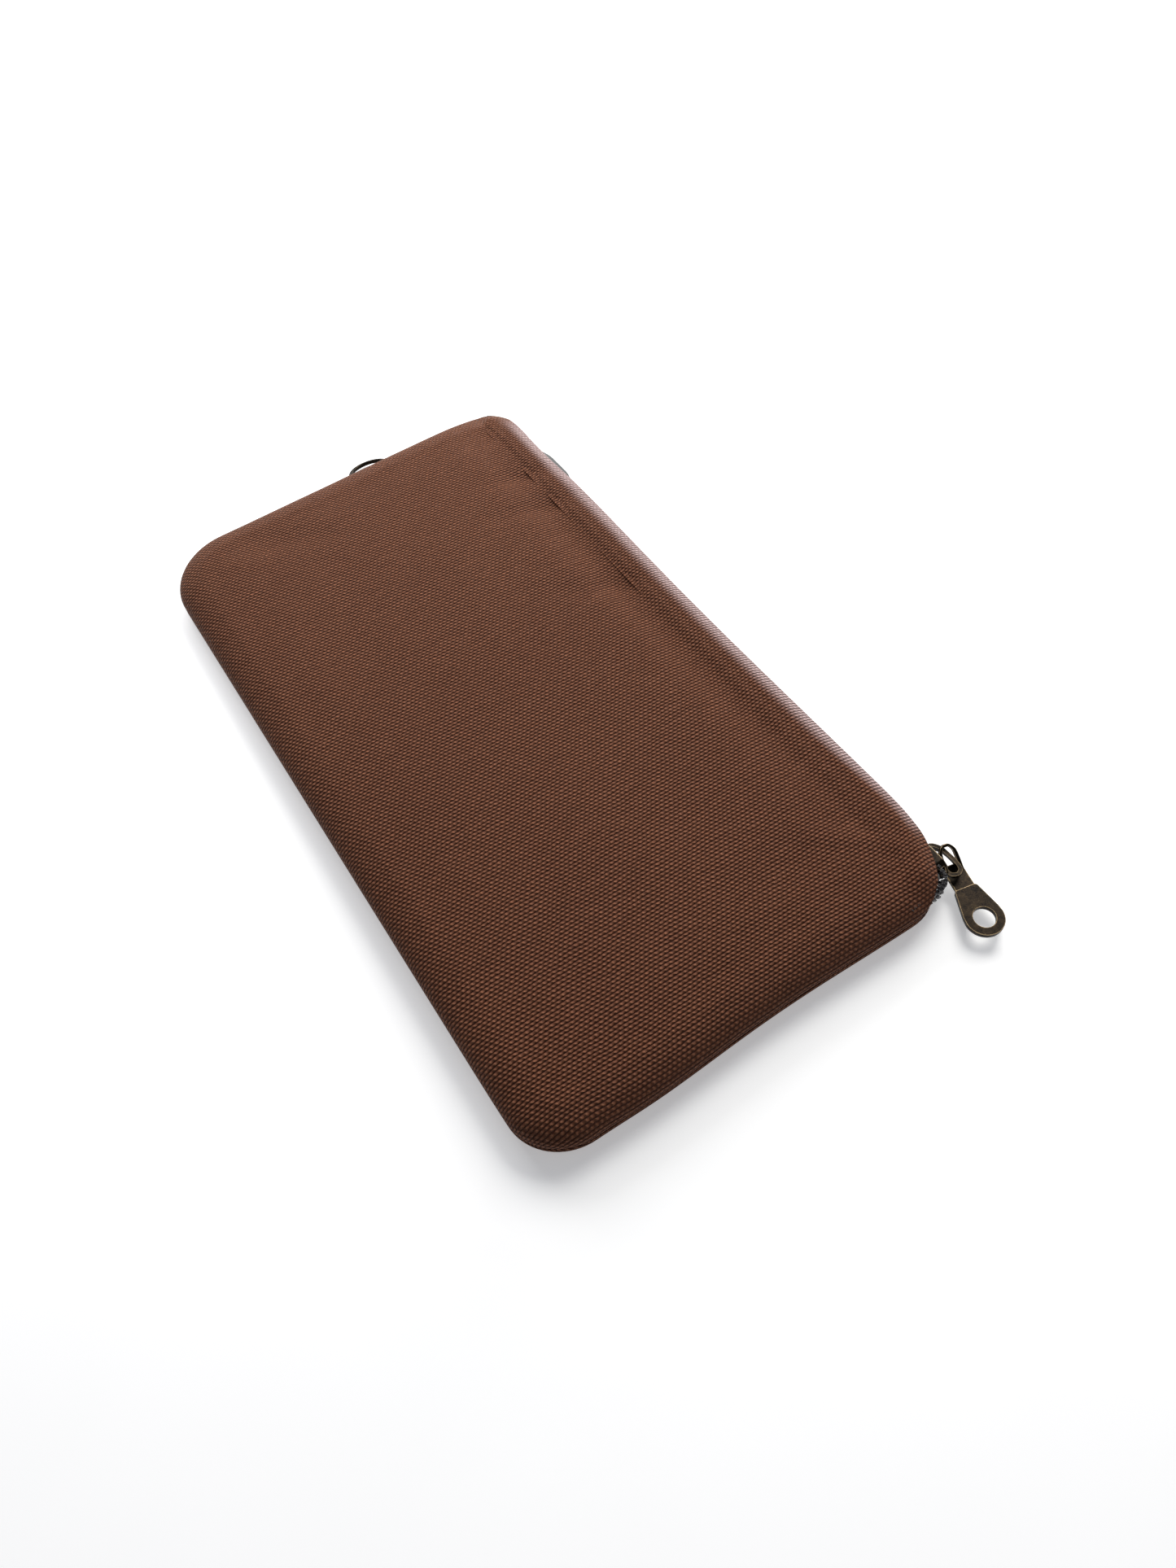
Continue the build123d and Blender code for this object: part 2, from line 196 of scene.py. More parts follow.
def joined(parts):
    """One list of points and one of faces, from several."""
    points, faces, start = [], [], 0
    for p, f in parts:
        points.append(p)
        faces += [[v + start for v in face] for face in f]
        start += len(p)
    return np.vstack(points), faces


def smooth_line(points, steps):
    """A Catmull-Rom curve through the points, with so many steps between neighbours."""
    p = np.asarray(points, float)
    p = np.vstack([2 * p[0] - p[1], p, 2 * p[-1] - p[-2]])
    made = []
    for i in range(1, len(p) - 2):
        for t in np.arange(steps) / steps:
            a, b, c, d = p[i - 1:i + 3]
            made.append(0.5 * (2 * b + (c - a) * t + (2 * a - 5 * b + 4 * c - d) * t ** 2
                               + (3 * b - a - 3 * c + d) * t ** 3))
    return np.array(made + [p[-2]])


def eased(t):
    """0 below 0, 1 above 1, and a smooth rise between."""
    t = np.clip(t, 0, 1)
    return t * t * (3 - 2 * t)


# ---- cloth sheets with rounded corners ----
STRAIGHT = 1e6                         # radius that stands for a straight side


class Outline:
    """A rounded rectangle as a loop of points, from the middle of its near left corner round."""

    def __init__(self, low, high, radii, cell):
        (x0, y0), (x1, y1) = low, high
        signs = [(1, 1), (-1, 1), (-1, -1), (1, -1)]
        corners = [(x0, y0), (x1, y0), (x1, y1), (x0, y1)]
        centres = [np.array(c) + r * np.array(s) for c, r, s in zip(corners, radii, signs)]
        arc = max(3, round(max(radii) * pi / 4 / cell))
        self.nx = 2 * arc + round((x1 - x0) / cell * 0.75)
        self.ny = 2 * arc + round((y1 - y0) / cell * 0.88)
        base, normal, radius = [], [], []
        for edge in range(4):
            turn = -90 + 90 * edge
            straight = (self.nx, self.ny)[edge % 2] - 2 * arc
            out = np.array([cos(radians(turn)), sin(radians(turn))])
            a, b = centres[edge], centres[(edge + 1) % 4]
            ra, rb = radii[edge], radii[(edge + 1) % 4]
            for t in np.arange(arc) / arc:
                n = np.array([cos(radians(turn - 45 + 45 * t)), sin(radians(turn - 45 + 45 * t))])
                base.append(a + ra * n)
                normal.append(n)
                radius.append(ra)
            for t in np.arange(straight) / straight:
                base.append((a + ra * out) * (1 - t) + (b + rb * out) * t)
                normal.append(out)
                radius.append(STRAIGHT)
            for t in np.arange(arc) / arc:
                n = np.array([cos(radians(turn + 45 * t)), sin(radians(turn + 45 * t))])
                base.append(b + rb * n)
                normal.append(n)
                radius.append(rb)
        self.base, self.normal, self.radius = np.array(base), np.array(normal), np.array(radius)
        count = len(base)
        k = np.arange(count)
        self.row = np.select(
            [k <= self.nx, k <= self.nx + self.ny, k <= 2 * self.nx + self.ny],
            [0 * k, k - self.nx, 0 * k + self.ny], 2 * self.nx + 2 * self.ny - k)
        # how far each point is on the zipper's side: 0 on the side seams, 1 along the mouth
        facing = np.degrees(np.arctan2(self.normal[:, 1], self.normal[:, 0]))
        self.zip = eased((90 - np.abs(facing) - 6) / 38) * (self.normal[:, 0] > 0)

    def inset(self, depth):
        """The loop moved inwards by so much at each point."""
        return self.base - self.normal * np.minimum(depth, self.radius - CORNER_CUT)[:, None]


class Sheet:
    """A sheet over an outline: rings down its rolled edge, then a grid inside the last ring.
    depth is a point's ring, counted from the hidden edge, and the grid counts as the last one."""

    def __init__(self, outline, seam_profile, mouth_profile, up):
        steps = 3                      # rings between two rows of a profile
        seam, mouth = smooth_line(seam_profile, steps), smooth_line(mouth_profile, steps)
        self.outline, self.rings = outline, len(seam)
        count, nx, ny = len(outline.base), outline.nx, outline.ny
        share = outline.zip[None, :, None]
        profile = seam[:, None, :] * (1 - share) + mouth[:, None, :] * share
        rings = np.array([np.column_stack([outline.inset(ring[:, 0]), ring[:, 1]]) for ring in profile])
        length = np.linalg.norm(np.diff(profile, axis=0), axis=2)
        run = np.vstack([np.cumsum(length[::-1], axis=0)[::-1], np.zeros((1, count))])
        uv = rings[-1][None, :, :2] + outline.normal[None] * run[..., None]
        inner, inner_uv, inner_row = self.grid(rings[-1])
        self.points = np.vstack([rings.reshape(-1, 3), inner])
        self.uv = np.vstack([uv.reshape(-1, 2), inner_uv])
        self.row = np.concatenate([np.tile(outline.row, self.rings), inner_row])
        self.depth = np.concatenate([np.repeat(np.arange(self.rings), count), np.full(len(inner), self.rings)])
        self.share = np.concatenate([np.tile(outline.zip, self.rings), np.zeros(len(inner))])
        faces = []
        for r in range(self.rings - 1):
            for k in range(count):
                a, b = r * count + k, r * count + (k + 1) % count
                faces.append([a, b, b + count, a + count])
        for j in range(ny):
            for i in range(nx):
                faces.append([self.at(i, j), self.at(i + 1, j), self.at(i + 1, j + 1), self.at(i, j + 1)])
        self.faces = faces if up else [f[::-1] for f in faces]
        y = self.points[:, 1]
        # painted highlight: the fold is painted pale over its outer rings, standing in for light caught from
        # behind, and less deep towards the near end
        reach = 8.2 * steps - 1.1 * steps * eased((-50 - y) / 32)
        self.fold = np.clip((reach - self.depth) / (2 * steps), 0, 1) * eased((self.depth - 3 * steps) / 2)
        self.fold *= self.share * eased((y - NEAR_Y - 12) / 8) * eased((FAR_Y - 5 - y) / 14)

    def at(self, i, j):
        """The index of grid point (i, j)."""
        nx, ny, count = self.outline.nx, self.outline.ny, len(self.outline.base)
        start = (self.rings - 1) * count
        if j == 0:
            return start + i
        if i == nx:
            return start + nx + j
        if j == ny:
            return start + 2 * nx + ny - i
        if i == 0:
            return start + count - j
        return self.rings * count + (j - 1) * (nx - 1) + i - 1

    def grid(self, ring):
        """The points inside a ring, carried smoothly across from its four sides."""
        nx, ny = self.outline.nx, self.outline.ny
        near, zipped = ring[:nx + 1], ring[nx:nx + ny + 1]
        far = ring[nx + ny:2 * nx + ny + 1][::-1]
        bottom = np.vstack([ring[2 * nx + ny:], ring[:1]])[::-1]
        made, rows = [], []
        for j in range(1, ny):
            v = j / ny
            for i in range(1, nx):
                u = i / nx
                corners = ((1 - u) * (1 - v) * near[0] + u * (1 - v) * near[-1]
                           + (1 - u) * v * far[0] + u * v * far[-1])
                made.append((1 - v) * near[i] + v * far[i] + (1 - u) * bottom[j] + u * zipped[j] - corners)
                rows.append(j)
        made = np.array(made)
        return made, made[:, :2], np.array(rows)

    def piece(self, name, thickness, near=None):
        """The sheet as a piece, or only its near or far half."""
        normals = point_normals(self.points, self.faces)
        if near is None:
            return shell(name, self.points, self.faces, self.uv, normals, thickness, self.fold)
        middle = self.outline.ny // 2
        highest = self.row[np.array(self.faces)].max(axis=1)
        faces = [f for f, row in zip(self.faces, highest) if (row <= middle) == near]
        return shell(name, self.points, faces, self.uv, normals, thickness, self.fold)


def bump(x, y, centre, length, width, turn, height):
    """A soft oval hill, or a hollow where height is below zero."""
    c, s = cos(radians(turn)), sin(radians(turn))
    dx, dy = x - centre[0], y - centre[1]
    along, across = dx * c + dy * s, -dx * s + dy * c
    return height * np.exp(-(along / length) ** 2 - (across / width) ** 2)


# Where the sewn edge has drawn in: centre, reach along X and Y, and the shift.
DRAWN_IN = [
    ((5, -103), 30, 14, (0.0, 1.35)),
    ((-44, -101), 14, 12, (0.5, 0.9)),
    ((56, -94), 9, 9, (-1.5, 0.7)),
    ((57, -5), 12, 60, (-1.2, 0.0)),
    ((58, 74), 6, 16, (-0.9, 0.0)),
    ((55, 99), 9, 9, (-0.7, -1.5)),
]
FAR_CORNER = DRAWN_IN[-1]
CHAIN_TUCK = ((50, -103), 8, 5, (-0.9, 1.0))   # the chain's own shift past the slider


def sharing(points, drawn):
    """How much points share in one such shift, from 0 to 1."""
    (x, y), wide, long, _ = drawn
    return np.exp(-((points[:, 0] - x) / wide) ** 2 - ((points[:, 1] - y) / long) ** 2)


def drawn_in(points):
    """Moves points of the bag's walls with the edge where it has drawn in."""
    moved = points.copy()
    for drawn in DRAWN_IN:
        moved[:, :2] += sharing(points, drawn)[:, None] * np.array(drawn[3])
    return moved


# Hollows and hills of the worn cloth: centre, length, width, turn and height.
HOLLOWS = [
    ((-22, 84), 12, 5, -25, -0.55),
    ((45, 66), 11, 3.6, -16, -0.6),
    ((42, 52), 12, 3.4, -14, -0.55),
    ((40, 16), 12, 4.0, -22, -0.5),
    ((43.5, 18), 68, 5.0, 90, -1.15),
    ((26, -80), 9, 6, 10, -0.45),
    ((42, -82), 10, 2.4, -45, 0.45),
    ((47, 88), 7, 4, 30, -0.5),
    ((-30, 30), 26, 10, 70, -0.25),
    ((0, -40), 30, 12, 35, 0.25),
]


def relief(points, scale=1.0, seed=0.0):
    """How the cloth rises and falls: its hollows, a slight puff, then gentle waves of three sizes."""
    x, y = points[:, 0], points[:, 1]
    rise = sum(bump(x, y, *h) for h in HOLLOWS) * scale
    inward = np.minimum(np.minimum(x - BOTTOM_X, ZIP_X - x), np.minimum(y - NEAR_Y, FAR_Y - y))
    rise = rise + 0.55 * scale * eased((inward - 6) / 16)
    waves = [(38.0, 0.32), (17.0, 0.16), (8.0, 0.05)]
    for size, height in waves:
        rise = rise + height * scale * np.array(
            [noise.noise(Vector((a / size + seed, b / size / 1.3, seed + size))) for a, b in zip(x, y)])
    return rise


def smoothed(values, faces, rounds):
    """Averages values over neighbouring points of a mesh, round after round."""
    ends = np.array([(a, b) for face in faces for a, b in zip(face, face[1:] + face[:1])])
    count = np.bincount(ends.ravel(), minlength=len(values))[:, None]
    for _ in range(rounds):
        total = np.zeros_like(values)
        np.add.at(total, ends[:, 0], values[ends[:, 1]])
        np.add.at(total, ends[:, 1], values[ends[:, 0]])
        values = (values + total / count) / 2
    return values


def settle(sheet, held, lift, most=0.9, frames=26):
    """Lets the free part of a sheet find its own shape by cloth simulation, a little slack and pushed by lift.
    held is each point's hold, from 0 to 1. No point moves further than most."""
    rest = sheet.points.copy()
    trial = make_object("settling", rest, sheet.faces)
    pins = trial.vertex_groups.new(name="held")
    for value in np.unique(np.round(held, 2)):
        pins.add(np.flatnonzero(np.round(held, 2) == value).tolist(), float(value), "REPLACE")
    cloth = trial.modifiers.new("cloth", "CLOTH")
    cloth.settings.quality = 5
    cloth.settings.mass = 0.3
    cloth.settings.tension_stiffness = 18
    cloth.settings.compression_stiffness = 18
    cloth.settings.shear_stiffness = 9
    cloth.settings.bending_stiffness = 1.2
    cloth.settings.air_damping = 2
    cloth.settings.vertex_group_mass = "held"
    cloth.settings.shrink_min = -0.008
    cloth.collision_settings.use_collision = False
    cloth.point_cache.frame_end = frames
    scene = bpy.context.scene
    scene.gravity = (0, 0, lift)
    for number in range(1, frames + 1):
        scene.frame_set(number)
    shown = trial.evaluated_get(bpy.context.evaluated_depsgraph_get()).to_mesh()
    found = np.zeros(len(rest) * 3)
    shown.vertices.foreach_get("co", found)
    scene.frame_set(1)
    bpy.data.objects.remove(trial)
    moved = found.reshape(-1, 3) / MM - rest
    size = np.maximum(np.linalg.norm(moved, axis=1), 1e-9)
    moved *= (np.minimum(size, most) / size)[:, None]
    sheet.points = rest + smoothed(moved, sheet.faces, rounds=8)


# ---- material networks ----
class Graph:
    """Short calls that add nodes to a material and link them."""

    def __init__(self, name):
        self.material = bpy.data.materials.new(name)
        self.material.use_nodes = True
        self.nodes, self.links = self.material.node_tree.nodes, self.material.node_tree.links
        self.shader = self.nodes["Principled BSDF"]

    def add(self, kind, inputs=None, **settings):
        node = self.nodes.new(kind)
        for key, value in settings.items():
            setattr(node, key, value)
        for key, value in (inputs or {}).items():
            if isinstance(value, bpy.types.NodeSocket):
                self.links.new(value, node.inputs[key])
            else:
                node.inputs[key].default_value = value
        return node

    def math(self, operation, *values, clamp=False):
        node = self.add("ShaderNodeMath", dict(enumerate(values)), operation=operation, use_clamp=clamp)
        return node.outputs[0]

    def noise(self, vector, scale, detail=2.0, roughness=0.5):
        inputs = {"Vector": vector, "Scale": scale, "Detail": detail, "Roughness": roughness}
        return self.add("ShaderNodeTexNoise", inputs).outputs["Fac"]

    def blend(self, factor, a, b, mode="MIX"):
        node = self.add("ShaderNodeMix", data_type="RGBA", blend_type=mode)
        for key, value in ((0, factor), (6, a), (7, b)):
            if isinstance(value, bpy.types.NodeSocket):
                self.links.new(value, node.inputs[key])
            else:
                node.inputs[key].default_value = value
        return node.outputs[2]

    def ramp(self, value, low, high, to_low=0.0, to_high=1.0):
        inputs = {0: value, 1: low, 2: high, 3: to_low, 4: to_high}
        return self.add("ShaderNodeMapRange", inputs).outputs[0]

    def split(self, vector):
        return self.add("ShaderNodeSeparateXYZ", {0: vector}).outputs

    def joined(self, x, y, z=0.0):
        return self.add("ShaderNodeCombineXYZ", {0: x, 1: y, 2: z}).outputs[0]

    def place(self):
        return self.add("ShaderNodeTexCoord").outputs["Object"]

    def cloth(self):
        return self.add("ShaderNodeUVMap", uv_map="cloth").outputs[0]

    def finish(self, colour, roughness=None, height=None, distance=0.0001, constants=None):
        sockets = self.shader.inputs
        self.links.new(colour, sockets["Base Color"])
        if roughness is not None:
            self.links.new(roughness, sockets["Roughness"])
        if height is not None:
            bumped = self.add("ShaderNodeBump", {"Strength": 1.0, "Distance": distance, "Height": height})
            self.links.new(bumped.outputs[0], sockets["Normal"])
        for key, value in (constants or {}).items():
            sockets[key].default_value = value
        return self.material


def plain_weave(g, warp, weft, wobble, ribbed=0.0):
    """Height of a plain weave from 0 to 1, with the thread coordinates it was made from.
    In a ribbed weave the crowns stand in rows along X, with a deep gap between rows."""
    u, v, _ = g.split(g.cloth())
    drift = g.noise(g.joined(g.math("MULTIPLY", u, 0.11), g.math("MULTIPLY", v, 0.11)), 1.0, 3.0)
    shift = g.math("MULTIPLY", g.math("SUBTRACT", drift, 0.5), wobble)
    slub = g.noise(g.joined(g.math("MULTIPLY", u, 0.25), g.math("MULTIPLY", v, 1.1), 5.0), 1.0, 1.0)
    slub = g.math("MULTIPLY", g.math("SUBTRACT", slub, 0.5), 0.40)
    u = g.math("ADD", g.math("DIVIDE", g.math("ADD", u, shift), warp), slub)
    v = g.math("ADD", g.math("DIVIDE", g.math("SUBTRACT", v, shift), weft), g.math("MULTIPLY", slub, 0.8))
    lean = g.math("MULTIPLY", g.math("SUBTRACT", g.math("FRACT", v), 0.5), 0.35 * ribbed)
    a = g.math("SINE", g.math("MULTIPLY", g.math("ADD", u, lean), pi))
    b = g.math("SINE", g.math("MULTIPLY", v, pi))
    pit = g.math("MULTIPLY_ADD", g.math("MULTIPLY", a, b), -0.5, 0.5)
    crossed = g.math("SUBTRACT", 1.0, g.math("POWER", pit, 1.35))
    crown = g.math("MULTIPLY_ADD", g.math("MULTIPLY", a, g.math("SIGN", b)), 0.31, 0.69)
    crown = g.math("ADD", crown, g.math("MULTIPLY", g.math("ABSOLUTE", a), 0.08))
    rows = g.math("MULTIPLY", g.math("POWER", g.math("ABSOLUTE", b), 0.75), crown)
    return g.ramp(ribbed, 0.0, 1.0, crossed, rows), u, v


def canvas_material():
    g = Graph("brown_canvas")
    height, u, v = plain_weave(g, WARP, WEFT, 0.9, 1.0)
    fibre = g.noise(g.joined(g.math("MULTIPLY", u, 2.2), g.math("MULTIPLY", v, 7.0)), 1.0, 3.0, 0.7)
    cloudy = g.noise(g.place(), 22.0, 3.0, 0.55)
    thread = g.noise(g.joined(g.math("FLOOR", u), g.math("FLOOR", v), 3.0), 0.63, 1.0)
    crown = g.blend(cloudy, (0.203, 0.080, 0.042, 1), (0.247, 0.101, 0.052, 1))
    # painted shade: the gaps between the threads are painted dark by the weave's height
    colour = g.blend(g.ramp(height, 0.10, 0.85), (0.040, 0.009, 0.004, 1), crown)
    light = g.math("MULTIPLY", g.ramp(fibre, 0.25, 0.75, 0.86, 1.14), g.ramp(thread, 0.3, 0.7, 0.84, 1.16))
    colour = g.blend(1.0, colour, g.joined(light, light, light), "MULTIPLY")
    # painted highlight: the tops of the threads are painted paler and pinker, in specks that follow the fibre
    # noise
    crown_highlight = g.math("MULTIPLY", g.ramp(height, 0.6, 1.0), g.ramp(fibre, 0.5, 0.8, 0.0, 0.4))
    colour = g.blend(crown_highlight, colour, (0.31, 0.165, 0.115, 1))
    # painted highlight: the fold's rings are painted pale, most on the thread tops, standing in for light
    # caught from behind
    fold_highlight = g.add("ShaderNodeAttribute", attribute_name="fold").outputs["Fac"]
    fold_highlight = g.math("MULTIPLY", fold_highlight, g.ramp(height, 0.15, 0.9, 0.25, 0.92))
    colour = g.blend(fold_highlight, colour, (0.56, 0.43, 0.43, 1))
    rough = g.ramp(fibre, 0.2, 0.8, 0.50, 0.66)
    bumps = g.math("MULTIPLY", height, g.ramp(thread, 0.3, 0.7, 0.82, 1.18))
    bumps = g.math("MULTIPLY_ADD", fibre, 0.16, bumps)
    return g.finish(colour, rough, bumps, 0.00042, {"Specular IOR Level": 0.08})


def lining_material():
    g = Graph("tan_lining")
    height = plain_weave(g, 0.34, 0.34, 0.2)[0]
    cloudy = g.noise(g.place(), 40.0, 3.0)
    base = g.blend(cloudy, (0.25, 0.17, 0.115, 1), (0.31, 0.22, 0.15, 1))
    light = g.ramp(height, 0.0, 1.0, 0.72, 1.08)
    colour = g.blend(1.0, base, g.joined(light, light, light), "MULTIPLY")
    return g.finish(colour, g.ramp(cloudy, 0.0, 1.0, 0.7, 0.85), height, 0.00006, {"Sheen Weight": 0.2})


def tape_material():
    """Woven tape: a herringbone of fine ribs that turns back along its middle."""
    g = Graph("zip_tape")
    u, v, _ = g.split(g.cloth())
    back = g.math("PINGPONG", u, 1.4)
    rib = g.math("SINE", g.math("MULTIPLY", g.math("ADD", v, back), 2 * pi / 0.55))
    yarn = g.math("SINE", g.math("MULTIPLY", u, 2 * pi / 0.4))
    height = g.math("MULTIPLY_ADD", rib, 0.3, g.math("MULTIPLY_ADD", yarn, 0.2, 0.5))
    fuzz = g.noise(g.place(), 3000.0, 2.0)
    base = g.blend(fuzz, (0.016, 0.019, 0.017, 1), (0.05, 0.055, 0.05, 1))
    light = g.ramp(height, 0.0, 1.0, 0.55, 1.35)
    colour = g.blend(1.0, base, g.joined(light, light, light), "MULTIPLY")
    return g.finish(colour, g.ramp(fuzz, 0.0, 1.0, 0.6, 0.8), height, 0.00008, {"Sheen Weight": 0.3})


def coil_material():
    g = Graph("nylon_coil")
    streak = g.noise(g.place(), 900.0, 3.0)
    colour = g.blend(streak, (0.014, 0.012, 0.014, 1), (0.075, 0.066, 0.072, 1))
    return g.finish(colour, g.ramp(streak, 0.3, 0.7, 0.22, 0.4), streak, 0.00002, {"Coat Weight": 0.2})


def thread_material(name, dark, pale):
    """Twisted sewing thread."""
    g = Graph(name)
    x, y, z = g.split(g.place())
    turn = g.math("SINE", g.math("MULTIPLY", g.math("ADD", g.math("ADD", x, y), z), 2 * pi / 0.00045))
    colour = g.blend(g.ramp(turn, -1.0, 1.0), dark, pale)
    fuzz = g.noise(g.place(), 2500.0, 2.0)
    return g.finish(colour, g.ramp(fuzz, 0.0, 1.0, 0.5, 0.75), turn, 0.00005, {"Sheen Weight": 0.25})


def brass_material(name, wear, reach):
    """Antique brass: dark patina with mottled wear, rubbed to gold along its edges.
    wear is how bright the edges are, and reach how far in they are rubbed."""
    g = Graph(name)
    soft = g.add("ShaderNodeBevel", {"Radius": reach}, samples=8).outputs[0]
    true = g.add("ShaderNodeNewGeometry").outputs["Normal"]
    alike = g.add("ShaderNodeVectorMath", {0: soft, 1: true}, operation="DOT_PRODUCT").outputs["Value"]
    rubbed = g.noise(g.place(), 1300.0, 3.0, 0.6)
    edge = g.ramp(g.math("SUBTRACT", 1.0, alike), 0.006, 0.045)
    edge = g.math("MULTIPLY", edge, g.ramp(rubbed, 0.25, 0.50, 0.65 * wear, wear), clamp=True)
    mottle = g.noise(g.place(), 700.0, 5.0, 0.65)
    fine = g.noise(g.place(), 4200.0, 3.0, 0.6)
    patina = g.blend(g.ramp(mottle, 0.35, 0.68), (0.0035, 0.0026, 0.0018, 1), (0.021, 0.0135, 0.007, 1))
    patina = g.blend(g.ramp(fine, 0.5, 0.8, 0.0, 0.5), patina, (0.080, 0.052, 0.026, 1))
    colour = g.blend(edge, patina, (0.50, 0.36, 0.20, 1))
    rough = g.ramp(mottle, 0.3, 0.7, 0.50, 0.34)
    rough = g.math("SUBTRACT", rough, g.math("MULTIPLY", edge, 0.1))
    return g.finish(colour, rough, g.math("MULTIPLY_ADD", fine, 0.3, mottle), 0.00003, {"Metallic": 0.85})


CANVAS, LINING, TAPE, COIL = canvas_material(), lining_material(), tape_material(), coil_material()
BRASS, DARK_BRASS = brass_material("antique_brass", 1.0, 0.00023), brass_material("dark_brass", 0.3, 0.00016)
GREY_THREAD = thread_material("grey_thread", (0.012, 0.011, 0.011, 1), (0.075, 0.068, 0.068, 1))
BROWN_THREAD = thread_material("brown_thread", (0.05, 0.025, 0.016, 1), (0.16, 0.085, 0.055, 1))


def dress(piece, material, slot, *nodes):
    """Gives a piece its material and hides the CAD nodes that it stands for. slot is not used."""
    piece.data.materials.clear()
    piece.data.materials.append(material)
    if nodes:
        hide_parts(*nodes)
    return piece


def swing(piece):
    """Bakes a front piece's placement into its mesh."""
    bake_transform(piece)


# ---- canvas and linings ----
# Each profile runs from a sheet's hidden inner edge, over its seam or fold, to the flat face:
# (distance in from the outline, height).
FRONT_SEAM = [(3.2, 4.35), (2.0, 4.25), (0.9, 4.1), (0.3, 4.3), (0.0, 5.0), (0.25, 6.2), (1.1, 7.4),
              (2.7, 8.45), (4.7, 9.15), (7.0, 9.6)]
FRONT_MOUTH = [(10.0, 8.75), (6.0, 8.72), (1.95, 8.32), (0.75, 7.78), (0.12, 8.05), (0.3, 8.75),
               (1.8, 9.62), (3.2, 10.2), (4.7, 10.38), (7.0, 10.15)]
BACK_SEAM = [(3.2, 3.55), (2.0, 3.65), (0.9, 3.85), (0.3, 3.6), (0.02, 3.0), (0.25, 2.0), (0.9, 1.05),
             (1.9, 0.42), (3.8, 0.06), (7.0, 0.0)]
BACK_MOUTH = [(10.0, 1.6), (6.0, 1.65), (2.5, 1.7), (1.1, 1.72), (0.45, 1.3), (0.5, 0.8), (1.05, 0.32),
              (2.1, 0.08), (4.0, 0.0), (7.0, 0.0)]


def front_canvas():
    outline = Outline((BOTTOM_X, NEAR_Y), (ZIP_X, FAR_Y), RADII, FRONT_CELL)
    sheet = Sheet(outline, FRONT_SEAM, FRONT_MOUTH, True)
    free = eased((sheet.depth - 14) / 10)      # nothing moves outside the rolled edge's crest
    sheet.points[:, 2] += relief(sheet.points) * free
    sag = 1.7 * sharing(sheet.points, FAR_CORNER)
    sheet.points[:, 2] -= sag * eased((sheet.points[:, 2] - 6.0) / 3)
    sheet.points = drawn_in(sheet.points)
    held = 1 - eased((sheet.depth - 18) / 14.0) * 0.985
    settle(sheet, held, lift=1.2)
    for near in (True, False):
        piece = sheet.piece("front_canvas_" + half(near), PLY, near)
        dress(piece, CANVAS, "canvas", "front_panel")
        swing(piece)


def back_canvas():
    outline = Outline((BOTTOM_X, NEAR_Y), (ZIP_X, FAR_Y), RADII, BACK_CELL)
    sheet = Sheet(outline, BACK_SEAM, BACK_MOUTH, False)
    lifted = eased((sheet.depth - 20) / 8)
    sheet.points[:, 2] += (relief(sheet.points, 0.5, 7.0) * 0.5 + 0.25).clip(0) * lifted
    sheet.points = drawn_in(sheet.points)
    piece = sheet.piece("back_canvas", PLY)
    dress(piece, CANVAS, "canvas", "back_panel")
    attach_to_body(piece, "back")


# The linings' profiles, in the same way. The back lining's free edge mirrors the front one's.
FRONT_LINING_SEAM = [(0.9, 4.3), (0.2, 4.4), (0.0, 5.2), (0.3, 6.4), (1.6, 7.3), (4.0, 7.5)]
BACK_LINING_SEAM = [(0.9, 3.75), (0.2, 3.7), (0.0, 3.2), (0.3, 2.7), (1.6, 2.3), (4.0, 2.15)]
FRONT_LINING_EDGE = [(0.0, 7.72), (0.6, 7.7), (1.2, 7.68), (2.4, 7.66), (4.0, 7.64), (6.0, 7.62)]
LINING_RADII = (9.7, 2.0, 2.0, 15.7)


def linings():
    low, high = box_mm("back_lining")
    tuck = 3.6                         # how far the linings reach in under the hems
    outline = Outline(low[:2], (high[0] + tuck, high[1]), LINING_RADII, LINING_CELL)
    for front in (True, False):
        if front:
            profiles = FRONT_LINING_SEAM, FRONT_LINING_EDGE
        else:
            profiles = BACK_LINING_SEAM, [(d, 2 * CHAIN_Z - 0.4 - z) for d, z in FRONT_LINING_EDGE]
        sheet = Sheet(outline, *profiles, front)
        free = eased((sheet.depth - 9) / 6)
        sheet.points[:, 2] += relief(sheet.points, 0.4, 11.0 if front else 19.0) * free * 0.5
        sheet.points = drawn_in(sheet.points)
        if not front:
            piece = dress(sheet.piece("back_lining_cloth", LINING_PLY), LINING, "lining", "back_lining")
            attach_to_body(piece, "back")
            continue
        for near in (True, False):
            name = "front_lining_" + half(near)
            piece = dress(sheet.piece(name, LINING_PLY, near), LINING, "lining", "front_lining")
            swing(piece)


# ---- zipper ----
def bowed(y, middle, reach):
    """A soft step up and down again about a middle, from 0 to 1."""
    return eased(1.5 * (1 - np.abs(y - middle) / reach))


